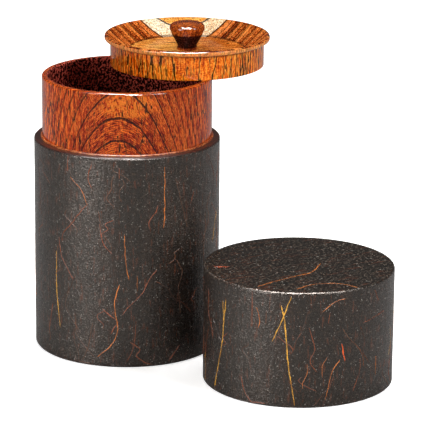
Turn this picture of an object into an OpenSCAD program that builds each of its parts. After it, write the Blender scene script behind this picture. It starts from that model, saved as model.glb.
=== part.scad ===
// Japanese tea caddy: a paper-covered wooden canister with a turned inner liner,
// a plug lid with a mushroom knob and a deep outer cap. The parts are laid out open:
// the plug lid rests on the liner's rim and the cap stands beside the canister.
// Millimetres, +Z up, origin at the centre of the canister's underside.

/* [Canister] */
// Outer diameter of the canister and of the cap
caddy_d = 80; // [74:1:90]
// Height of the canister up to its shoulder
canister_h = 92; // [70:1:120]
// Thickness of the wooden base plate
base_t = 5; // [4:0.5:8]

/* [Liner] */
// Height of the liner that stands above the shoulder
collar_h = 27; // [22:0.5:30]
// Width of the shoulder, from the liner to the outside
shoulder_w = 3.5; // [3:0.1:4.5]
// Wall of the turned liner
liner_t = 2.7; // [1.8:0.1:3]
// Thickness of the liner's floor
floor_t = 3; // [2:0.5:5]

/* [Plug lid] */
// Height of the plug below the flange
plug_h = 10.8; // [9:0.2:14]
// Thickness of the flange
flange_t = 2.3; // [1.8:0.1:3]
// Depth of the dish in the lid's top
dish_depth = 6.6; // [5:0.2:7.4]
// Diameter of the dish's flat floor
dish_floor_d = 49.4; // [40:0.2:54]
// Gap between the plug and the liner's bore
plug_gap = 0.4; // [0.2:0.05:0.6]

/* [Knob] */
// Greatest diameter of the knob
knob_d = 15.3; // [12:0.1:20]
// Height of the knob above the dish's floor
knob_h = 11.8; // [9:0.2:14]

/* [Cap] */
// Outer height of the cap
cap_h = 49.6; // [45:0.2:60]
// Thickness of the cap's top plate
cap_plate_t = 4.5; // [3:0.5:6]
// Gap between the cap's bore and the liner
cap_gap = 0.35; // [0.2:0.05:0.6]

/* [Paper] */
// Thickness of the lacquered paper
paper_t = 0.35; // [0.2:0.05:0.6]
// Width of the lap where a paper wrap's ends overlap
lap_w = 6; // [3:0.5:12]

/* [Layout] */
// Cap centre, to the right of the canister's axis
cap_x = 73.4; // [66:0.2:100]
// Cap centre, in front of the canister's axis
cap_y = -48.8; // [-80:0.2:-46]
// Plug lid centre, to the right of the canister's axis
lid_x = 25.4; // [22:0.2:26]
// Plug lid centre, behind the canister's axis
lid_y = 20.6; // [18:0.2:21]

/* [Hidden] */
$fn = 180;
eps = 0.01;              // overrun that keeps cutting tools clear of a face
glue_gap = 0.04;         // film of glue between two pressed wooden parts

outer_r = caddy_d / 2;
core_r = outer_r - paper_t;
liner_r = outer_r - shoulder_w;
bore_r = liner_r - liner_t;
liner_top = canister_h + collar_h;
liner_round = 0.8;       // rounding of the liner's rim
shoulder_round = 0.5;
foot_round = 0.3;        // rounding where the canister's wall meets its underside

base_r = liner_r + 1.6;  // the base plate sits in a rebate under the liner
base_top = paper_t + base_t;

plug_r = bore_r - plug_gap;
flange_inset = 0.6;      // how far the flange stops short of the liner's outside
flange_r = liner_r - flange_inset;
flange_round = 0.95;
plug_round = 0.3;
lid_h = plug_h + flange_t;
lip_w = 1.3;             // flat lip round the top of the dish
dish_floor_z = lid_h - dish_depth;
dish_round = 2.2;        // hollow rounding where the dish's wall meets the lip

tenon_r = 2.4;
tenon_l = 4;
knob_neck_r = 4.1;
knob_foot_h = 0.9;
knob_round = 2.1;        // roll round the knob's top

cap_bore_r = liner_r + cap_gap;
cap_spigot_h = 1.5;      // step on the cap's plate that centres it in the ring
cap_round = 1;           // rounding of the cap's top edge
mouth_round = 0.2;

paper_colour = [0.17, 0.15, 0.14];
tube_colour = [0.14, 0.09, 0.07];
liner_colour = [0.66, 0.27, 0.10];
lid_colour = [0.80, 0.45, 0.16];
knob_colour = [0.60, 0.22, 0.08];

// Square of a profile between two radii and two heights.
module band(r0, r1, z0, z1) {
    translate([r0, z0]) square([r1 - r0, z1 - z0]);
}

// What a rounding of radius r takes off a profile's corner at (x, z).
// sx and sz point from the corner into the material.
module corner(x, z, r, sx, sz) {
    difference() {
        translate([x + (sx > 0 ? -eps : -r), z + (sz > 0 ? -eps : -r)])
            square(r + eps);
        translate([x + sx * r, z + sz * r]) circle(r, $fn = 64);
    }
}

// Paper wrapped once round a drum, with its outer end lapped over the inner one at the back.
module paper_wrap(r0, r1, z0, z1, lap_t) {
    lap_angle = lap_w / r1 * 180 / PI;
    rotate_extrude() band(r0, r1, z0, z1);
    rotate([0, 0, 90 - lap_angle / 2])
        rotate_extrude(angle = lap_angle) band(r1 - eps, r1 + lap_t, z0, z1);
}

// Turned tube of the canister, open at the top and rebated for the base plate.
module canister_tube() {
    color(tube_colour) rotate_extrude() difference() {
        band(liner_r + glue_gap, core_r, paper_t, canister_h);
        band(liner_r, base_r, 0, base_top);
        corner(core_r, canister_h, shoulder_round, -1, -1);
        corner(core_r, paper_t, foot_round, -1, 1);
    }
}

// Base plate that closes the tube.
module base_plate() {
    color(tube_colour) rotate_extrude()
        band(0, base_r - glue_gap, paper_t, base_top);
}

// Paper round the canister, from just under the shoulder's rounding to just above the foot's.
module canister_paper() {
    color(paper_colour) paper_wrap(
        core_r, outer_r, paper_t + foot_round, canister_h - shoulder_round, paper_t / 2);
}

// Paper disc under the canister, which is what the caddy stands on.
module base_paper() {
    color(paper_colour) rotate_extrude()
        band(0, core_r - foot_round, 0, paper_t);
}

// Turned liner: the tube that holds the tea and guides the plug lid and the cap.
module liner() {
    color(liner_colour) rotate_extrude() difference() {
        band(bore_r, liner_r, base_top, liner_top);
        corner(liner_r, liner_top, liner_round, -1, -1);
        corner(bore_r, liner_top, liner_round, 1, -1);
    }
}

// Floor of the tea space, let into the foot of the liner.
module liner_floor() {
    color(liner_colour) rotate_extrude()
        band(0, bore_r - glue_gap, base_top, base_top + floor_t);
}

// Half section of the plug lid, with its underside at z = 0.
module lid_section() {
    difference() {
        union() {
            band(0, plug_r, 0, lid_h);
            band(0, flange_r, plug_h, lid_h);
            // cove that runs the plug's wall into the flange
            difference() {
                band(plug_r - eps, plug_r + plug_round, plug_h - plug_round, plug_h);
                translate([plug_r + plug_round, plug_h - plug_round])
                    circle(plug_round, $fn = 64);
            }
        }
        polygon([
            [0, dish_floor_z], [dish_floor_d / 2, dish_floor_z],
            [flange_r - lip_w, lid_h], [flange_r - lip_w, lid_h + 1], [0, lid_h + 1]
        ]);
        band(0, tenon_r + glue_gap, dish_floor_z - tenon_l - 0.2, dish_floor_z + eps);
        corner(plug_r, 0, plug_round, -1, 1);
        corner(flange_r, lid_h, flange_round, -1, -1);
        corner(flange_r, plug_h, flange_round, -1, 1);
    }
}

// Plug lid: a solid plug under a thin flange, dished on top round the knob.
module plug_lid() {
    color(lid_colour) translate([lid_x, lid_y, liner_top])
        rotate_extrude() lid_section();
}

// Half section of the knob, with the dish's floor at z = 0.
module knob_section() {
    top_r = knob_d / 2 - knob_round;
    waist_z = knob_foot_h + 0.9;
    shoulder_z = knob_h - 1.5 * knob_round - 2.1;
    difference() {
        union() {
            band(0, tenon_r, -tenon_l, eps);
            band(0, knob_neck_r + 0.35, 0, knob_foot_h);
            band(0, knob_neck_r, 0, waist_z);
            polygon([
                [0, waist_z], [knob_neck_r, waist_z],
                [knob_d / 2 - 1.0, shoulder_z],
                [knob_d / 2, knob_h - knob_round - 0.3],
                [top_r, knob_h - 0.35], [0, knob_h]
            ]);
            translate([top_r, knob_h - knob_round - 0.3]) circle(knob_round, $fn = 64);
        }
        translate([-knob_d, -tenon_l - 1]) square([knob_d, knob_h + tenon_l + 2]);
    }
}

// Mushroom knob, tenoned into the lid.
module knob() {
    color(knob_colour) translate([lid_x, lid_y, liner_top + dish_floor_z])
        rotate_extrude() knob_section();
}

// Turned ring of the cap, which slides over the liner.
module cap_ring() {
    color(tube_colour) translate([cap_x, cap_y, 0]) rotate_extrude() difference() {
        band(cap_bore_r, core_r, 0, cap_h - paper_t - cap_plate_t);
        corner(cap_bore_r, 0, mouth_round, 1, 1);
        corner(core_r, 0, mouth_round, -1, 1);
    }
}

// Top plate of the cap, centred in the ring by a spigot.
module cap_plate() {
    plate_z = cap_h - paper_t - cap_plate_t;
    color(tube_colour) translate([cap_x, cap_y, 0]) rotate_extrude() difference() {
        union() {
            band(0, core_r, plate_z, cap_h - paper_t);
            band(0, cap_bore_r - glue_gap, plate_z - cap_spigot_h, plate_z + eps);
        }
        corner(core_r, cap_h - paper_t, cap_round - paper_t, -1, -1);
    }
}

// Paper round the cap's side.
module cap_side_paper() {
    color(paper_colour) translate([cap_x, cap_y, 0])
        paper_wrap(core_r, outer_r, mouth_round, cap_h - cap_round, paper_t / 2);
}

// Paper on the cap's top, drawn down over the rounded edge to meet the side paper.
module cap_top_paper() {
    color(paper_colour) translate([cap_x, cap_y, 0]) rotate_extrude() difference() {
        band(0, outer_r, cap_h - cap_round, cap_h);
        corner(outer_r, cap_h, cap_round, -1, -1);
        difference() {
            band(-eps, core_r, cap_h - cap_round - eps, cap_h - paper_t);
            corner(core_r, cap_h - paper_t, cap_round - paper_t, -1, -1);
        }
    }
}

canister_tube();
base_plate();
canister_paper();
base_paper();
liner();
liner_floor();
plug_lid();
knob();
cap_ring();
cap_plate();
cap_side_paper();
cap_top_paper();
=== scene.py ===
"""Looks of the tea caddy: lacquered zelkova liner, lid and knob, and dark lacquered bark paper."""

import math
import random

import bpy
import numpy as np
from mathutils import Matrix, Vector, noise


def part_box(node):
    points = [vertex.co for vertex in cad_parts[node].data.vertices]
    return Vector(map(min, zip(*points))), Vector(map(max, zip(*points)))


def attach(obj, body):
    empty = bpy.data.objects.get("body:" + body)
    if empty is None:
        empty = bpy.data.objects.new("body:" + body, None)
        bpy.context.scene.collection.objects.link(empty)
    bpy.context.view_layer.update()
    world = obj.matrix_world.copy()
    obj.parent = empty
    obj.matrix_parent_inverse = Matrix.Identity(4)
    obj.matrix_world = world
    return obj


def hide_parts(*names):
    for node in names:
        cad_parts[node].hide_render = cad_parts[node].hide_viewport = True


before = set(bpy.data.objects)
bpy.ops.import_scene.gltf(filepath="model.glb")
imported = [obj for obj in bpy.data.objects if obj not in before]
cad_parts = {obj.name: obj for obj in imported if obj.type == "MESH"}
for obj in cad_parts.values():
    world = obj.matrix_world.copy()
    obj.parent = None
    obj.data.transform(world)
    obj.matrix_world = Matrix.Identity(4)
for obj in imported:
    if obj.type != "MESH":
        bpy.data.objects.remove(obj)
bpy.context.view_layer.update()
MM = 0.001


# ---------------------------------------------------------------- places, from the frame


def centre(node):
    """Axis of a turned node, as x and y."""
    low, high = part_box(node)
    return (low.x + high.x) / 2, (low.y + high.y) / 2


def radius(node):
    """Outer radius of a turned node."""
    low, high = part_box(node)
    return (high.x - low.x) / 2


CANISTER_R = radius("canister_paper")
LINER_R = radius("liner")
SHOULDER_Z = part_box("canister_tube")[1].z
LID_X, LID_Y = centre("plug_lid")
LID_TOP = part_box("plug_lid")[1].z
CAP_X, CAP_Y = centre("cap_ring")
CAP_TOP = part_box("cap_top_paper")[1].z
KNOB_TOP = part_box("knob")[1].z
DISH_DEPTH = 6.6 * MM
DISH_FLOOR_R = 24.7 * MM
LINER_WALL = 2.7 * MM
FLANGE_T = 2.3              # in millimetres, as the wood's graphs count

# the papers
PAPER_T = 0.3 * MM          # wraps
LAP_STEP = 0.12 * MM        # where a wrap's end lies over its start
LAP_HALF = 3.0 * MM
EDGE_ROUND = 0.1 * MM       # bevel of a wrap's two edges
EDGE_FLAT = 0.13 * MM       # border of a wrap that stays free of swells
SWELL_DEPTH = 0.07 * MM
TOP_SINK = 0.04 * MM        # the cap's top paper ends this far inside the wrap
TOP_T = 0.34 * MM           # of the cap's top paper
TOP_HUB = 0.2 * MM          # radius of its middle facet
TOP_STREAKS = 32            # lean of the streaks on the cap's top, in degrees
STRAND_BED = 0.08 * MM      # a bark fibre starts this far under its paper's highest swells
STRAND_RISE = 0.07 * MM     # its crown above that


# ---------------------------------------------------------------- material graphs


def srgb(code):
    """Linear colour of a hex code."""
    parts = [int(code[i:i + 2], 16) / 255 for i in (0, 2, 4)]
    return [c / 12.92 if c <= 0.04045 else ((c + 0.055) / 1.055) ** 2.4 for c in parts] + [1.0]


class Graph:
    """The node tree of one material. Each call adds a node and returns its output."""

    def __init__(self, name):
        self.material = bpy.data.materials.new(name)
        self.material.use_nodes = True
        self.nodes = self.material.node_tree.nodes
        self.links = self.material.node_tree.links
        self.shader = self.nodes["Principled BSDF"]

    def feed(self, socket, value):
        if isinstance(value, bpy.types.NodeSocket):
            self.links.new(value, socket)
        else:
            socket.default_value = value

    def node(self, kind, inputs, **settings):
        made = self.nodes.new(kind)
        for key, value in settings.items():
            setattr(made, key, value)
        for key, value in inputs.items():
            self.feed(made.inputs[key], value)
        return made

    def math(self, operation, a, b=0.0):
        return self.node("ShaderNodeMath", {0: a, 1: b}, operation=operation).outputs[0]

    def add(self, a, b):
        return self.math("ADD", a, b)

    def times(self, a, b):
        return self.math("MULTIPLY", a, b)

    def span(self, x, y):
        """How far (x, y) is from nought."""
        return self.math("SQRT", self.add(self.math("POWER", x, 2.0), self.math("POWER", y, 2.0)))

    def stretch(self, vector, factors):
        made = self.node("ShaderNodeVectorMath", {0: vector, 1: factors}, operation="MULTIPLY")
        return made.outputs[0]

    def shift(self, vector, offset):
        made = self.node("ShaderNodeVectorMath", {0: vector, 1: offset}, operation="ADD")
        return made.outputs[0]

    def point(self, origin=(0, 0, 0)):
        """Place on the object in millimetres, counted from origin, a point in metres."""
        coords = self.node("ShaderNodeTexCoord", {}).outputs["Object"]
        moved = self.shift(coords, [-c for c in origin])
        return self.stretch(moved, (1000, 1000, 1000))

    def axes(self, vector):
        made = self.node("ShaderNodeSeparateXYZ", {0: vector})
        return made.outputs[0], made.outputs[1], made.outputs[2]

    def joined(self, x, y, z):
        return self.node("ShaderNodeCombineXYZ", {0: x, 1: y, 2: z}).outputs[0]

    def noise(self, vector, scale, detail=2.0, roughness=0.5):
        inputs = {"Vector": vector, "Scale": scale, "Detail": detail, "Roughness": roughness}
        return self.node("ShaderNodeTexNoise", inputs).outputs[0]

    def cells(self, vector, scale):
        """Distance to the middle of the nearest cell."""
        inputs = {"Vector": vector, "Scale": scale}
        return self.node("ShaderNodeTexVoronoi", inputs).outputs["Distance"]

    def swing(self, value, size):
        """A value about a half turned into one about nought, size times as strong."""
        return self.times(self.add(value, -0.5), size)

    def chance(self, value):
        """A random number from 0 to 1 for each whole number."""
        inputs = {"W": value}
        return self.node("ShaderNodeTexWhiteNoise", inputs, noise_dimensions="1D").outputs[0]

    def fit(self, value, low, high, to_low=0.0, to_high=1.0):
        """value taken smoothly from low..high to to_low..to_high, and held outside."""
        inputs = {0: value, 1: low, 2: high, 3: to_low, 4: to_high}
        made = self.node("ShaderNodeMapRange", inputs, interpolation_type="SMOOTHSTEP")
        return made.outputs[0]

    def mix(self, share, a, b):
        """A colour taken from a to b."""
        made = self.node("ShaderNodeMix", {}, data_type="RGBA")
        self.feed(made.inputs[0], share)
        self.feed(made.inputs[6], a)
        self.feed(made.inputs[7], b)
        return made.outputs[2]

    def between(self, share, a, b):
        """A number taken from a to b."""
        made = self.node("ShaderNodeMix", {}, data_type="FLOAT")
        for index, value in enumerate((share, a, b)):
            self.feed(made.inputs[(0, 2, 3)[index]], value)
        return made.outputs[0]

    def bump(self, height, distance):
        inputs = {"Height": height, "Distance": distance}
        return self.node("ShaderNodeBump", inputs).outputs[0]

    def finish(self, **inputs):
        """Sets the shader's sockets by name, with _ for a space, and gives the material."""
        for key, value in inputs.items():
            self.feed(self.shader.inputs[key.replace("_", " ")], value)
        return self.material


# ---------------------------------------------------------------- zelkova


def rings_from(g, p, pith, lean, ring):
    """How many growth rings lie between the pith and each place, with the log's wander."""
    x, y, z = g.axes(p)
    away = g.add(g.span(g.add(x, -pith[0]), g.add(y, -pith[1])), g.times(z, -lean))
    wander = g.swing(g.noise(g.stretch(p, (1, 1, 0.6)), 0.04, 1.0), 1.0)
    quiver = g.swing(g.noise(p, 0.35, 2.0), 0.12)
    return g.add(g.add(g.times(away, 1 / ring), wander), quiver)


def pore_row(g, p, age, width, gaps=0.4):
    """The earlywood's row of large pores at the start of a ring, broken up along the grain."""
    row = g.fit(age, g.times(width, 0.75), g.times(width, 1.15), 1.0, 0.0)
    broken = g.fit(g.noise(g.stretch(p, (1.3, 1.3, 0.6)), 1.0, 2.0, 0.6), 0.36, 0.46, gaps, 1.0)
    return g.times(row, broken)


def pore_bands(g, p, rings, count):
    """Latewood bands of small pores, count of them to a ring, that follow the rings."""
    ripple = g.math("SINE", g.times(rings, 2 * math.pi * count))
    dots = g.noise(g.stretch(p, (1.6, 1.6, 1.3)), 1.0, 1.0)
    return g.times(g.fit(ripple, 0.1, 0.8), g.fit(dots, 0.38, 0.50))


def vessels(g, p, level, across=1.25, along=0.22):
    """Dark dashes where single vessels are cut open, fewer at a high level, and their pale sheaths."""
    cut = g.noise(g.stretch(p, (across, across, along)), 1.0, 1.0)
    sheath = g.fit(cut, g.add(level, -0.09), g.add(level, -0.03))
    return g.fit(cut, level, g.add(level, 0.02)), sheath


def figure(g, p, fleck=1.5, streak=1.3, cloud=0.8):
    """Tone of the bare wood about a half: flecks, streaks up the grain and broad clouds."""
    tone = g.add(0.5, g.swing(g.noise(g.stretch(p, (1, 1, 0.34)), 2.1, 1.0), fleck))
    tall = g.noise(g.stretch(p, (1.5, 1.5, 0.14)), 1.0, 2.0, 0.6)
    tone = g.add(tone, g.swing(tall, streak))
    broad = g.noise(g.stretch(p, (1, 1, 0.5)), 0.09, 3.0, 0.6)
    return g.add(tone, g.swing(broad, cloud))


def toned(g, tone, deep, middle, light):
    """Colour for a tone: deep at 0.2, middle at a half and light at 0.8."""
    colour = g.mix(g.fit(tone, 0.2, 0.5), srgb(deep), srgb(middle))
    return g.mix(g.fit(tone, 0.5, 0.8), colour, srgb(light))


def lacquered(g, p, colour, dark, line, coat=1.0):
    """Wood colour with its pores filled dark, under clear lacquer that sinks into them."""
    colour = g.mix(g.times(dark, 0.93), colour, srgb(line))
    relief = g.add(g.times(dark, -1.0), g.times(g.noise(p, 0.9, 2.0), 0.25))
    return g.finish(
        Base_Color=colour, Roughness=g.fit(dark, 0.0, 1.0, 0.4, 0.6),
        Normal=g.bump(relief, 0.04 * MM), Specular_IOR_Level=0.0,
        Coat_Weight=coat, Coat_Roughness=0.12, Coat_IOR=1.38)


def collar_wood():
    """Flat-sawn zelkova: arches of pore rows on the front, close upright rows at the sides."""
    g = Graph("liner_zelkova")
    p = g.point()
    x, y, z = g.axes(p)
    rings = g.add(rings_from(g, p, pith=(4.2, 60.0), lean=0.14, ring=1.55), -0.37)
    age = g.math("FRACT", rings)
    side = g.fit(g.math("ABSOLUTE", g.add(x, -3.0)), 11.0, 32.0)
    row = pore_row(g, p, age, g.fit(side, 0.0, 1.0, 0.115, 0.2), g.fit(side, 0.0, 1.0, 0.8, 0.3))
    row = g.times(row, g.fit(side, 0.0, 1.0, 1.0, 0.75))
    bands = g.times(pore_bands(g, p, rings, 11), g.fit(side, 0.2, 1.0, 0.9, 0.0))

    luck = g.chance(g.math("FLOOR", rings))
    tone = g.add(figure(g, p, 0.9, 0.0, 0.5), g.swing(luck, 0.15))
    tone = g.add(tone, g.fit(age, 0.5, 1.0, 0.06, -0.08))
    upright = g.noise(g.stretch(p, (1.5, 1.5, 0.14)), 1.0, 2.0, 0.6)
    arched = g.noise(g.joined(g.times(rings, 14.0), g.times(x, 0.4), g.times(z, 0.4)), 1.0, 2.0, 0.6)
    streak = g.between(g.fit(side, 0.0, 0.8), arched, upright)
    tone = g.add(tone, g.swing(streak, 2.1))
    colour = toned(g, tone, "681404", "ae380e", "e0681e")

    # paler figure high on the front
    off = g.shift(p, (-1.5, 36.0, -113.5))
    wide = g.node("ShaderNodeVectorMath", {0: g.stretch(off, (1, 0.6, 2.3))}, operation="LENGTH")
    flame = g.fit(wide.outputs["Value"], 7.0, 16.0, 1.0, 0.0)
    fleck = g.noise(g.stretch(p, (1.7, 1.7, 0.5)), 1.0, 1.0)
    colour = g.mix(g.times(flame, g.fit(fleck, 0.44, 0.56, 0.0, 0.9)), colour, srgb("d87420"))
    dark = g.math("MAXIMUM", row, g.times(bands, g.fit(flame, 0.0, 0.6, 1.0, 0.2)))
    level = g.add(g.fit(side, 0.0, 1.0, 0.665, 0.6), g.times(flame, -0.05))
    dashes, sheath = vessels(g, p, level)
    dark = g.math("MAXIMUM", dark, dashes)
    colour = g.mix(g.times(sheath, 0.3), colour, srgb("ee8430"))

    # the bore is painted darker, with reddish specks: painted shade inside the tube
    bore = (LINER_R - LINER_WALL) / MM
    inside = g.fit(g.span(x, y), bore + 0.3, bore + 1.1, 1.0, 0.0)
    grit = g.fit(g.noise(g.stretch(p, (1, 1, 0.8)), 1.3, 1.0), 0.48, 0.60)
    colour = g.mix(inside, colour, g.mix(grit, srgb("1c0605"), srgb("bc5242")))
    dark = g.times(dark, g.fit(inside, 0.0, 1.0, 1.0, 0.3))
    return lacquered(g, p, colour, dark, "140c08")


def lid_outside(g, p, reach):
    """Colour and darkness of the flange and skirt: rows that crowd together away from the front."""
    x, _, z = g.axes(p)
    rows = g.add(rings_from(g, p, pith=(-6.7, 75.0), lean=-0.03, ring=1.1), 0.3)
    across = g.math("ABSOLUTE", g.add(x, -3.0))
    row = pore_row(g, p, g.math("FRACT", rows), g.fit(across, 10.0, 30.0, 0.10, 0.28))
    front = g.fit(across, 6.0, 16.0, 1.0, 0.0)
    dashes, sheath = vessels(g, p, g.fit(front, 0.0, 1.0, 0.572, 0.625), 1.35, 0.17)
    dark = g.math("MAXIMUM", row, dashes)
    weave = g.swing(g.noise(g.stretch(p, (0.9, 0.9, 2.4)), 1.0, 1.0), g.fit(front, 0.0, 1.0, 0.0, 0.9))
    tone = g.add(figure(g, p, 1.1, 1.3, 0.4), weave)
    tone = g.add(tone, g.fit(x, -32.0, -12.0, -0.16, 0.0))
    colour = toned(g, tone, "a42e02", "e8680a", "ff9e2c")
    colour = g.mix(g.times(sheath, 0.3), colour, srgb("ffc050"))

    # the flange is paler than the skirt; the dark band under it is painted shadow of the flange
    rim = g.fit(z, -FLANGE_T - 0.2, -FLANGE_T)
    dark = g.times(dark, g.fit(rim, 0.0, 1.0, 1.0, 0.55))
    colour = g.mix(g.times(rim, 0.35), colour, srgb("ffb870"))
    flange_shadow = g.times(g.fit(z, -FLANGE_T - 1.0, -FLANGE_T - 0.2), g.fit(reach, 34.6, 35.0, 1.0, 0.0))
    return colour, g.math("MAXIMUM", dark, g.times(flange_shadow, 0.9))


def dish_wall(g, p, away):
    """Colour and darkness of the dish's wall: pale behind the knob, partly pale wood and partly
    painted reflection of the overhead light, and striped at the sides.
    """
    x, _, z = g.axes(p)
    steep = g.add(away, g.times(z, 0.48))
    close = g.times(steep, 1 / 2.1)
    wide = g.times(g.add(steep, -43.8), 1 / 6.1)
    age = g.math("FRACT", wide)
    minor = g.times(pore_row(g, p, g.math("FRACT", close), 0.22, 0.5), g.fit(wide, 1.0, 1.3))
    dots = g.times(g.fit(g.noise(p, 1.4, 1.0), 0.56, 0.60), 0.55)
    dark = g.math("MAXIMUM", pore_row(g, p, age, 0.11, 0.8), minor)
    dark = g.math("MAXIMUM", dark, dots)

    stripe = g.add(figure(g, p, 1.8, 0.0, 0.8), g.fit(age, 0.25, 1.0, 0.16, -0.2))
    stripe = g.add(stripe, g.swing(g.chance(g.math("FLOOR", close)), 0.25))
    striped = toned(g, stripe, "641a04", "bc5416", "ee9040")
    # the cream is pale wood with a painted reflection of the overhead light in it
    pale = g.add(figure(g, p, 1.8, 0.0, 0.8), g.fit(x, -12.0, 14.0, 0.1, 0.0))
    cream = toned(g, pale, "b88256", "e8c290", "fff0d4")
    golden = toned(g, figure(g, p, 1.6, 0.0, 0.8), "a8560f", "e09030", "f6c468")
    colour = g.mix(g.fit(wide, -0.06, 0.06), golden, cream)
    return g.mix(g.fit(wide, 0.94, 1.06), colour, striped), dark


def dish_floor(g, p, away):
    """Colour and darkness of the dish's floor: fine close rows, painted lighter at the left and darker
    at the right.
    """
    x, _, _ = g.axes(p)
    uneven = g.swing(g.noise(g.stretch(p, (0.4, 1, 1)), 0.14, 2.0), 9.0)
    age = g.math("FRACT", g.times(g.add(away, uneven), 1 / 2.6))
    # painted light from the left, and painted shade of the knob towards the right
    shade = g.add(figure(g, p, 1.5, 0.0, 0.8), g.fit(x, -6.0, 12.0, 0.10, -0.16))
    return toned(g, shade, "8a380c", "cc7428", "f0b054"), g.times(pore_row(g, p, age, 0.30, 0.3), 0.8)


def lid_wood():
    """A dish turned in a plank: U-shaped rows on its wall, upright dashes round the outside."""
    g = Graph("lid_zelkova")
    p = g.point((LID_X, LID_Y, LID_TOP))
    x, y, z = g.axes(p)
    reach = g.span(x, y)
    wall_slope = 0.62
    climb = g.math("MAXIMUM", g.times(g.add(reach, -DISH_FLOOR_R / MM), wall_slope), 0.0)
    above = g.add(g.add(z, DISH_DEPTH / MM), g.times(climb, -1.0))
    hollow = g.times(g.fit(reach, 35.8, 36.3, 1.0, 0.0), g.fit(above, -0.9, -0.6))
    level = g.times(hollow, g.fit(reach, 24.6, 24.9, 1.0, 0.0))

    colour, dark = lid_outside(g, p, reach)
    pith = g.span(g.add(x, 4.6), g.add(y, -75.0))
    away = g.add(pith, g.swing(g.noise(p, 0.25, 2.0), 0.7))
    wall_colour, wall_dark = dish_wall(g, p, away)
    floor_colour, floor_dark = dish_floor(g, p, away)

    # the corner between wall and floor is drawn by a dark line, widest at the back
    line = g.fit(y, 10.0, 22.0, 0.35, 1.1)
    corner = g.math("ABSOLUTE", g.add(reach, -25.0))
    corner = g.times(g.fit(corner, g.times(line, 0.6), line, 1.0, 0.0), hollow)
    wall_dark = g.math("MAXIMUM", wall_dark, g.times(corner, 0.7))
    colour = g.mix(hollow, colour, g.mix(level, wall_colour, floor_colour))
    dark = g.between(hollow, dark, g.between(level, wall_dark, floor_dark))

    # the lacquer is thinner in the dish than on its lip and outside
    inside = g.times(hollow, g.fit(reach, 34.2, 34.8, 1.0, 0.0))
    return lacquered(g, p, colour, dark, "0c0402", g.fit(inside, 0.0, 1.0, 1.0, 0.35))


def knob_wood():
    """Close red-brown wood, painted much darker on the tapering stem."""
    g = Graph("knob_zelkova")
    p = g.point((LID_X, LID_Y, KNOB_TOP))
    _, _, z = g.axes(p)
    rings = rings_from(g, p, pith=(3.0, 40.0), lean=0.3, ring=1.9)
    row = g.times(pore_row(g, p, g.math("FRACT", rings), 0.16, 0.1), 0.6)
    speck = g.fit(g.noise(p, 1.3, 1.0), 0.60, 0.64)
    colour = toned(g, figure(g, p, 1.8, 0.6, 1.4), "54180a", "84340f", "c2601e")
    stem = g.times(g.fit(z, -5.4, -4.4, 1.0, 0.0), g.fit(z, -11.2, -10.6))
    night = toned(g, figure(g, p, 1.8, 0.0, 0.6), "100403", "230b06", "46201a")
    colour = g.mix(stem, colour, night)
    shine = g.fit(stem, 0.0, 1.0, 1.0, 0.15)
    return lacquered(g, p, colour, g.math("MAXIMUM", row, g.times(speck, 0.7)), "180a06", shine)


# ---------------------------------------------------------------- paper and stain


def lacquered_paper(name, origin, streak_angle=None):
    """Near-black brown lacquer over mulberry paper, with painted glints: pale dots in its colour.

    streak_angle turns the streaks, in degrees, on a flat piece; on a wrapped one they run upright.
    """
    g = Graph(name)
    p = g.point(origin)
    if streak_angle is None:
        fine, lay, spots = p, g.stretch(p, (1.0, 1.0, 0.16)), p
        light = "3a2e25"
    else:
        inputs = {"Vector": p, "Angle": math.radians(-streak_angle)}
        turned = g.node("ShaderNodeVectorRotate", inputs, rotation_type="Z_AXIS").outputs[0]
        fine, lay = g.stretch(turned, (0.55, 0.9, 1.0)), g.stretch(turned, (0.07, 0.6, 1.0))
        spots = g.stretch(turned, (0.45, 0.55, 1.0))
        # on a flat top the light grains are paler: painted light on the cap's upward face
        light = "685c50"
    mottle = g.noise(lay, 0.22, 4.0, 0.6)
    cloud = g.noise(p, 0.05, 2.0)
    base = g.mix(g.fit(mottle, 0.40, 0.60), srgb("050302"), srgb("1a0d07"))
    base = g.mix(g.fit(cloud, 0.40, 0.60, 0.0, 0.7), base, srgb("0e0a08"))
    grain = g.noise(fine, 1.35, 2.0, 0.7)
    base = g.mix(g.fit(grain, 0.56, 0.62, 0.0, 0.9), base, srgb(light))
    base = g.mix(g.fit(grain, 0.36, 0.48, 0.9, 0.0), base, srgb("020101"))
    hair = g.noise(lay, 1.2, 2.0)
    base = g.mix(g.fit(hair, 0.60, 0.68, 0.0, 0.6), base, srgb("5c2f1a"))
    # painted highlights: pale dots in the colour that stand for glints of the lacquer
    dot = g.cells(spots, 1.05)
    rare = g.noise(p, 0.5, 2.0)
    painted_glint = g.times(g.fit(dot, 0.14, 0.24, 1.0, 0.0), g.fit(rare, 0.50, 0.60))
    base = g.mix(g.times(painted_glint, 0.8), base, srgb("b4aea4"))
    wrinkle = g.noise(lay, 0.5, 3.0, 0.6)
    height = g.add(g.times(grain, 0.8), g.times(wrinkle, 1.2))
    return g.finish(
        Base_Color=base, Roughness=g.fit(grain, 0.35, 0.65, 0.36, 0.22),
        Normal=g.bump(height, 0.3 * MM), IOR=1.85,
        Specular_Tint=(1.0, 0.89, 0.81, 1.0))


def stained_wood(name):
    """Dark reddish-brown stained wood of the shoulder and the hidden core."""
    g = Graph(name)
    p = g.point()
    grain = g.noise(g.stretch(p, (1.0, 1.0, 0.12)), 1.3, 3.0, 0.6)
    cloud = g.noise(p, 0.12, 2.0)
    colour = g.mix(grain, srgb("1c0805"), srgb("54200f"))
    colour = g.mix(g.fit(cloud, 0.4, 0.7, 0.0, 0.6), colour, srgb("260d07"))
    return g.finish(
        Base_Color=colour, Roughness=g.fit(grain, 0.3, 0.7, 0.32, 0.5),
        Normal=g.bump(grain, 0.05 * MM), Coat_Weight=0.6, Coat_Roughness=0.15)


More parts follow.
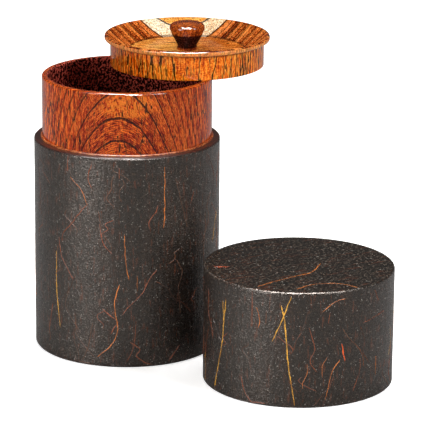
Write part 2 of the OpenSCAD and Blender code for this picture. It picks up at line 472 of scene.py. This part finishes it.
def fibre_material():
    """Bark fibre under lacquer: each strand carries its own colour."""
    g = Graph("bark_fibre")
    tint = g.node("ShaderNodeAttribute", {}, attribute_name="tint").outputs["Color"]
    p = g.point()
    wear = g.noise(p, 1.1, 3.0, 0.6)
    fade = g.noise(p, 0.14, 2.0)
    colour = g.mix(g.fit(fade, 0.48, 0.62, 0.0, 0.5), tint, srgb("86400f"))
    colour = g.mix(g.fit(wear, 0.42, 0.62, 0.0, 0.4), colour, srgb("4a2c18"))
    return g.finish(
        Base_Color=colour, Roughness=0.45, Normal=g.bump(wear, 0.03 * MM),
        Coat_Weight=0.25, Coat_Roughness=0.2)


# ---------------------------------------------------------------- meshes


def add_mesh(name, vertices, faces, material):
    """A new object from vertices in metres, in the row frame."""
    mesh = bpy.data.meshes.new(name)
    mesh.from_pydata([tuple(v) for v in vertices], [], faces)
    mesh.materials.append(material)
    mesh.polygons.foreach_set("use_smooth", [True] * len(mesh.polygons))
    made = bpy.data.objects.new(name, mesh)
    bpy.context.scene.collection.objects.link(made)
    return made


def lathe(name, axis, profile, material, columns=256, relief=None, solid=False):
    """Turns a closed profile of (radius, height, free) points about an upright axis.

    relief gives how far a free point moves outward and upward. A solid piece's profile starts
    and ends near the axis, and is closed there.
    """
    rows = len(profile)
    vertices = []
    for j in range(columns):
        angle = 2 * math.pi * j / columns
        ax, ay = math.sin(angle), -math.cos(angle)
        for r, z, free in profile:
            out, up = relief(angle, r, z) if relief and free else (0.0, 0.0)
            vertices.append((axis[0] + ax * (r + out), axis[1] + ay * (r + out), z + up))
    faces = []
    for j in range(columns):
        k = (j + 1) % columns
        for i in range(rows - 1 if solid else rows):
            m = (i + 1) % rows
            faces.append((j * rows + i, k * rows + i, k * rows + m, j * rows + m))
    if solid:
        faces.append(tuple(j * rows for j in reversed(range(columns))))
        faces.append(tuple(j * rows + rows - 1 for j in range(columns)))
    return add_mesh(name, vertices, faces, material)


def cockle(spot, coarse, fine):
    """Height of cockled paper at a place in millimetres, from -1 to 1."""
    return 0.6 * noise.noise(spot / coarse) + 0.4 * noise.noise(spot / fine)


def wrap_relief(depth, lap_angle):
    """Swells of a paper wrap, and the step where its end laps over itself at the back."""
    def relief(angle, r, z):
        spot = Vector((r * math.sin(angle), -r * math.cos(angle), 0.4 * z)) / MM
        lapped = abs(angle - math.pi) < lap_angle
        return depth * cockle(spot, 6.0, 1.6) + (LAP_STEP if lapped else 0.0), 0.0
    return relief


def top_relief(depth, streak_angle):
    """Brushed streaks of the paper on a flat top."""
    c, d = math.cos(math.radians(streak_angle)), math.sin(math.radians(streak_angle))

    def relief(angle, r, z):
        x, y = r * math.sin(angle) / MM, -r * math.cos(angle) / MM
        spot = Vector((0.2 * (x * c + y * d), y * c - x * d, 0))
        return 0.0, depth * (cockle(spot, 3.5, 1.3) - 1.0)
    return relief


def wrap(name, axis, low, high, outer, material):
    """Paper wrapped once round a drum, with a rounded edge at each end."""
    steps = 170
    skin = outer - SWELL_DEPTH
    foot, head = low + EDGE_FLAT, high - EDGE_FLAT
    profile = [(skin - PAPER_T, low, False), (skin - EDGE_ROUND, low, False)]
    profile.append((skin, low + EDGE_ROUND, False))
    for i in range(steps + 1):
        profile.append((skin, foot + (head - foot) * i / steps, True))
    profile.append((skin, high - EDGE_ROUND, False))
    profile += [(skin - EDGE_ROUND, high, False), (skin - PAPER_T, high, False)]
    return lathe(name, axis, profile, material, 512, wrap_relief(SWELL_DEPTH, LAP_HALF / outer))


def top_sheet(name, axis, top, edge, outer, material):
    """Paper on a flat top, drawn down over its rounded edge."""
    skin = outer - TOP_SINK
    underside = top - TOP_T
    rings = 110
    profile = []
    for i in range(rings + 1):
        profile.append((TOP_HUB + (skin - edge - TOP_HUB) * i / rings, top, True))
    for r, z in arc(skin - edge, top - edge, edge, 78, 0, 7):
        profile.append((r, z, False))
    profile.append((skin - PAPER_T, top - edge, False))
    profile += [(skin - edge, underside, False), (TOP_HUB, underside, False)]
    relief = top_relief(SWELL_DEPTH, TOP_STREAKS)
    return lathe(name, axis, profile, material, 360, relief, solid=True)


def arc(cx, cz, r, start, end, count):
    """Points of an arc in a profile, angles in degrees from the outward direction."""
    points = []
    for i in range(count + 1):
        a = math.radians(start + (end - start) * i / count)
        points.append((cx + r * math.cos(a), cz + r * math.sin(a)))
    return points


# ---------------------------------------------------------------- bark fibres

GOLD = srgb("ffb938")
ORANGE = srgb("e8802c")
RUSSET = srgb("a4502a")
EMBER = srgb("ff6016")
PALE = srgb("d0b070")
FAINT = srgb("6a4630")
DUSK = srgb("3a2417")

BRIGHT_MIX = [GOLD, ORANGE, ORANGE, RUSSET, RUSSET, FAINT]
SUNK_MIX = [FAINT, FAINT, DUSK, RUSSET]

# Strands on the canister, listed one by one: colour, width in mm, and points of (degrees right of
# the front, height in mm).
CANISTER_STRANDS = [
    (RUSSET, 0.55, [(-37, 91), (-37, 84)]),
    (ORANGE, 0.50, [(-35, 82), (-27, 77), (-23, 71)]),
    (RUSSET, 0.55, [(-20, 89), (-22.5, 83), (-20, 78)]),
    (RUSSET, 0.45, [(-3, 88), (-3, 83)]),
    (FAINT, 0.50, [(-16, 69), (-13, 60), (-8, 54)]),
    (ORANGE, 0.60, [(25, 88), (25, 76), (25, 65), (24, 61)]),
    (RUSSET, 0.50, [(47, 75), (44, 70)]),
    (ORANGE, 0.50, [(0, 59), (1, 47), (3, 39)]),
    (ORANGE, 0.45, [(8, 41), (8, 34)]),
    (GOLD, 0.60, [(-47, 48), (-47, 31), (-44, 14)]),
    (RUSSET, 0.50, [(-51, 24), (-55, 12)]),
    (ORANGE, 0.65, [(-3, 37), (-6, 28), (-4, 17), (-8, 10), (-17, 4)]),
    (RUSSET, 0.50, [(7, 19), (6, 10), (2, 3)]),
    (RUSSET, 0.70, [(36, 8), (28, 1.5)]),
]

# Strands on the cap's side, in the same terms.
CAP_STRANDS = [
    (GOLD, 0.75, [(-50, 42), (-52, 31), (-53, 24), (-56, 15), (-61, 2)]),
    (GOLD, 0.45, [(-53, 41), (-52, 32)]),
    (GOLD, 0.70, [(-6, 48), (-9, 42), (-11, 38), (-14, 33), (-17, 28)]),
    (GOLD, 0.75, [(-12, 44), (-10, 38), (-8.5, 28), (-7, 17), (-5.5, 11), (-3, 1)]),
    (ORANGE, 0.60, [(-27, 42), (-25, 37), (-26, 33)]),
    (RUSSET, 0.45, [(-30, 48), (-30, 33)]),
    (FAINT, 0.45, [(-21, 41), (-21, 35)]),
    (ORANGE, 0.60, [(12, 41), (20, 45), (27, 46)]),
    (RUSSET, 0.50, [(17, 41), (16, 36)]),
    (EMBER, 1.00, [(25, 27), (26, 23), (27, 19)]),
    (ORANGE, 0.50, [(24, 20), (19, 15), (15, 3)]),
    (ORANGE, 0.50, [(16, 22), (13, 18), (13, 13)]),
    (ORANGE, 0.50, [(4, 19), (4, 15), (1.5, 11), (1.5, 8)]),
    (PALE, 0.60, [(71, 27), (73, 19), (68, 14)]),
    (ORANGE, 0.45, [(52, 18), (52, 9)]),
    (RUSSET, 0.45, [(38, 19), (38, 14), (33, 5)]),
    (RUSSET, 0.45, [(40, 34), (60, 36)]),
    (RUSSET, 0.45, [(49, 47), (54, 41)]),
]

# Strands on the cap's top: colour, width, and points of (right, back) from its centre in mm.
CAP_TOP_STRANDS = [
    (EMBER, 0.60, [(-35.5, -5), (-28, -5)]),
    (ORANGE, 0.60, [(-18, -32), (-11, -25), (-3, -18), (5, -11), (9, 1)]),
    (ORANGE, 0.60, [(-2, -35), (4, -29), (12, -26.5), (18, -28), (23, -32)]),
]


def chance_strands(seed, count, angles, low, high, colours, drift=0.9, curl=1.5):
    """Further strands by chance, that drift sideways and curl as they run down."""
    rng = random.Random(seed)
    made = []
    for _ in range(count):
        angle = rng.uniform(*angles)
        top = rng.uniform(low + 8, high - 1)
        length = rng.uniform(6, 26)
        slant = rng.uniform(-drift, drift)
        colour = rng.choice(colours)
        points = []
        steps = 4
        for i in range(steps + 1):
            height = max(low + 1, top - length * i / steps)
            points.append((angle, height))
            angle += slant * length / steps + rng.uniform(-curl, curl)
        made.append((colour, rng.uniform(0.4, 0.7), points))
    return made


def smooth_line(points, step):
    """A Catmull-Rom curve through the points, sampled about every step."""
    ends = [2 * points[0] - points[1]] + points + [2 * points[-1] - points[-2]]
    line = []
    for i in range(1, len(ends) - 2):
        a, b, c, d = ends[i - 1:i + 3]
        count = max(2, int((c - b).length / step))
        for k in range(count):
            t = k / count
            line.append(0.5 * (2 * b + (c - a) * t + (2 * a - 5 * b + 4 * c - d) * t * t
                               + (3 * b - a - 3 * c + d) * t ** 3))
    line.append(points[-1])
    return line


def strand_mesh(name, strands, place, material, body):
    """Flat, crowned, tapering ribbons laid on a surface.

    place takes a point of the unrolled surface and a height above it to the row frame.
    """
    rng = random.Random(name)
    vertices, faces, tints = [], [], []
    spacing = 0.6               # between sections, in millimetres
    section = [(-1.0, -0.4), (-0.7, 0.6), (0.0, 1.0), (0.7, 0.6), (1.0, -0.4)]
    for colour, width, points in strands:
        line = smooth_line([Vector(p) for p in points], spacing)
        first = len(vertices)
        sway = rng.uniform(0, 10)
        for i, spot in enumerate(line):
            ahead = line[min(i + 1, len(line) - 1)] - line[max(i - 1, 0)]
            across = Vector((-ahead.y, ahead.x)).normalized()
            end = min(i, len(line) - 1 - i) / 3     # from 0 at a tip, where it tapers
            plump = 0.75 + 0.35 * noise.noise(Vector((0.35 * i, sway, 0)))
            half = 0.46 * width * min(1.0, 0.25 + end) * plump
            wave = 0.22 * noise.noise(Vector((0.25 * i, sway, 5)))
            buried = min(1.0, max(0.0, 0.35 + 1.3 * noise.noise(Vector((0.13 * i, sway, 9)))))
            worn = [c + (d - c) * 0.5 * buried for c, d in zip(colour, DUSK)]
            for u, h in section:
                flat = spot + across * (half * u + wave)
                vertices.append(place(flat, STRAND_RISE * h * min(1.0, 0.4 + end)))
                tints.append(worn)
        ring = len(section)
        for i in range(len(line) - 1):
            for j in range(ring):
                a = first + i * ring + j
                b = first + i * ring + (j + 1) % ring
                faces.append((a, b, b + ring, a + ring))
        faces.append(tuple(first + j for j in reversed(range(ring))))
        faces.append(tuple(len(vertices) - ring + j for j in range(ring)))
    made = add_mesh(name, vertices, faces, material)
    layer = made.data.color_attributes.new("tint", "FLOAT_COLOR", "POINT")
    layer.data.foreach_set("color", np.array(tints, float).ravel())
    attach(made, body)
    return made


def on_drum(axis, skin):
    """Places (arc length, height) in millimetres on a drum."""
    def place(flat, rise):
        angle = flat.x * MM / skin
        r = skin + rise
        return axis[0] + r * math.sin(angle), axis[1] - r * math.cos(angle), flat.y * MM
    return place


def unrolled(strands, skin):
    """Strands with their angles turned into arc lengths in millimetres."""
    scale = math.radians(1) * skin / MM
    return [(c, w, [(a * scale, z) for a, z in points]) for c, w, points in strands]


# ---------------------------------------------------------------- build


def add_papers(paper_side, paper_cap, paper_top, fibre):
    """The canister's wrap, the cap's wrap and the cap's top, with their bark fibres."""
    low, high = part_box("canister_paper")
    body = wrap("paper_canister", (0, 0), low.z, high.z, CANISTER_R, paper_side)
    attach(body, "canister")
    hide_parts("canister_paper")
    low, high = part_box("cap_side_paper")
    side = wrap("paper_cap_side", (CAP_X, CAP_Y), low.z, high.z, CANISTER_R, paper_cap)
    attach(side, "outer_cap")
    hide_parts("cap_side_paper")

    skin = CANISTER_R - STRAND_BED
    strands = CANISTER_STRANDS + chance_strands(11, 34, (75, 290), 0, 91, BRIGHT_MIX)
    strands += chance_strands(38, 34, (-72, 72), 0, 91, SUNK_MIX, 1.0, 4.5)
    strand_mesh("bark_fibres_canister", unrolled(strands, skin), on_drum((0, 0), skin), fibre,
                "canister")
    strands = CAP_STRANDS + chance_strands(23, 24, (85, 285), 0, 47, BRIGHT_MIX)
    strands += chance_strands(45, 18, (-72, 75), 0, 47, SUNK_MIX, 1.0, 4.0)
    strand_mesh("bark_fibres_cap", unrolled(strands, skin), on_drum((CAP_X, CAP_Y), skin), fibre,
                "outer_cap")
    low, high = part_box("cap_top_paper")
    top = top_sheet("paper_cap_top", (CAP_X, CAP_Y), high.z, high.z - low.z, CANISTER_R, paper_top)
    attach(top, "outer_cap")
    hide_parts("cap_top_paper")
    top_z = CAP_TOP - STRAND_BED

    def on_top(flat, rise):
        return CAP_X + flat.x * MM, CAP_Y + flat.y * MM, top_z + rise

    strand_mesh("bark_fibres_cap_top", CAP_TOP_STRANDS, on_top, fibre, "outer_cap")


def add_bead():
    """Lacquer that has gathered in the corner at the foot of the collar."""
    g = Graph("gathered_lacquer")
    p = g.point()
    lumps = g.noise(p, 0.8, 2.0)
    colour = g.mix(g.fit(lumps, 0.4, 0.6), srgb("84300f"), srgb("c8743c"))
    lacquer = g.finish(
        Base_Color=colour, Roughness=0.35, Normal=g.bump(lumps, 0.08 * MM),
        Coat_Weight=0.4, Coat_Roughness=0.08)
    size, out, up, sunk = 0.48 * MM, 0.18 * MM, 0.24 * MM, 0.1 * MM
    profile = []
    for r, z in arc(LINER_R + out, SHOULDER_Z + up, size, 115, -30, 10):
        profile.append((r, z, False))
    profile.append((LINER_R - sunk, SHOULDER_Z - sunk, False))
    bead = lathe("collar_foot_lacquer", (0, 0), profile[::-1], lacquer, 192)
    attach(bead, "canister")


def paint_nodes(collar, lid, knob, paper_side, stain):
    """Gives each CAD node that still shows its material."""
    looks = {
        "liner": collar, "liner_floor": collar, "plug_lid": lid, "knob": knob,
        "canister_tube": stain, "base_plate": stain, "cap_ring": stain, "cap_plate": stain,
        "base_paper": paper_side,
    }
    for name, material in looks.items():
        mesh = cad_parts[name].data
        mesh.materials.clear()
        mesh.materials.append(material)


def add_floor():
    """Plain pale floor. It looks white as far as it goes, and throws back less than it shows."""
    near, far = 400.0, 2500.0   # it glows more from the one to the other, in millimetres
    g = Graph("floor")
    path = g.node("ShaderNodeLightPath", {})
    seen = path.outputs["Is Camera Ray"]
    shade = g.mix(path.outputs["Is Glossy Ray"], srgb("c8c8c8"), srgb("929292"))
    shade = g.mix(seen, shade, srgb("f7f7f6"))
    x, y, _ = g.axes(g.point())
    glow = g.fit(g.span(x, y), near, far, 0.5, 1.0)
    material = g.finish(
        Base_Color=shade, Roughness=0.9, Specular_IOR_Level=0.1,
        Emission_Color=(1, 1, 1, 1), Emission_Strength=g.times(seen, glow))
    half = 6.0
    corners = [(-half, -half, 0), (half, -half, 0), (half, half, 0), (-half, half, 0)]
    floor = add_mesh("floor", corners, [(0, 1, 2, 3)], material)


def add_light(name, place, target, size, power):
    """A softbox that faces target."""
    data = bpy.data.lights.new(name, "AREA")
    data.shape = "RECTANGLE"
    data.size, data.size_y = size
    data.energy = power
    light = bpy.data.objects.new(name, data)
    light.location = place
    facing = Vector(target) - Vector(place)
    light.rotation_euler = facing.to_track_quat("-Z", "Y").to_euler()
    bpy.context.scene.collection.objects.link(light)
    return light


def add_world():
    """A dim room that shows white behind the object, and hardly shows in its gloss."""
    world = bpy.data.worlds.new("studio")
    world.use_nodes = True
    tree = world.node_tree
    room, in_gloss = 0.15, 0.07
    path = tree.nodes.new("ShaderNodeLightPath")
    level = tree.nodes.new("ShaderNodeMix")
    level.inputs["A"].default_value = room
    level.inputs["B"].default_value = in_gloss
    tree.links.new(path.outputs["Is Glossy Ray"], level.inputs["Factor"])
    white = tree.nodes.new("ShaderNodeMath")
    white.operation = "MAXIMUM"
    tree.links.new(path.outputs["Is Camera Ray"], white.inputs[0])
    tree.links.new(level.outputs["Result"], white.inputs[1])
    background = tree.nodes["Background"]
    background.inputs[0].default_value = (1, 1, 1, 1)
    tree.links.new(white.outputs[0], background.inputs[1])
    bpy.context.scene.world = world


def add_lights():
    """Soft studio light: an overhead box, a strip that lights the rims, a key and a weak fill."""
    over = add_light("overhead", (0.0, 0.45, 1.2), (0, 0.2, 0), (1.2, 0.5), 17)
    over.visible_glossy = False
    strip = add_light("strip", (-0.05, -0.75, 1.15), (-0.05, 0, 0.05), (1.1, 0.5), 65)
    strip.visible_diffuse = False
    edge = add_light("edge", (-0.05, -0.65, 1.15), (-0.05, 0, 0.1), (1.1, 0.7), 170)
    edge.visible_diffuse = False
    wood = bpy.data.collections.new("wood")
    for name in ("liner", "plug_lid", "knob"):
        wood.objects.link(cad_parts[name])
    edge.light_linking.receiver_collection = wood
    add_light("key", (-1.0, -0.95, 0.42), (0, 0, 0.06), (0.6, 0.7), 13.5)
    add_light("fill", (1.2, -0.8, 1.0), (0, 0, 0.06), (0.5, 0.5), 17)
    bpy.context.scene.view_settings.view_transform = "Standard"


def add_camera():
    """A long lens that looks down 16 degrees from a little right of the canister's front."""
    place = (0.0370, -1.1875, 0.3986)
    look_down, roll = 15.993, 0.476
    data = bpy.data.cameras.new("camera")
    data.sensor_width = 36.0
    data.lens = 241.4
    data.clip_end = 50
    camera = bpy.data.objects.new("camera", data)
    turn = Matrix.Rotation(math.radians(90 - look_down), 4, "X")
    turn = turn @ Matrix.Rotation(math.radians(roll), 4, "Z")
    camera.matrix_world = Matrix.Translation(place) @ turn
    bpy.context.scene.collection.objects.link(camera)
    bpy.context.scene.camera = camera


add_camera()
add_world()
add_lights()
add_floor()
collar, lid, knob = collar_wood(), lid_wood(), knob_wood()
paper_side = lacquered_paper("paper_canister", (0, 0, 0))
paper_cap = lacquered_paper("paper_cap", (CAP_X, CAP_Y, 0))
paper_top = lacquered_paper("paper_cap_top", (CAP_X, CAP_Y, CAP_TOP), TOP_STREAKS)
stain = stained_wood("stained_core")
paint_nodes(collar, lid, knob, paper_side, stain)
add_papers(paper_side, paper_cap, paper_top, fibre_material())
add_bead()
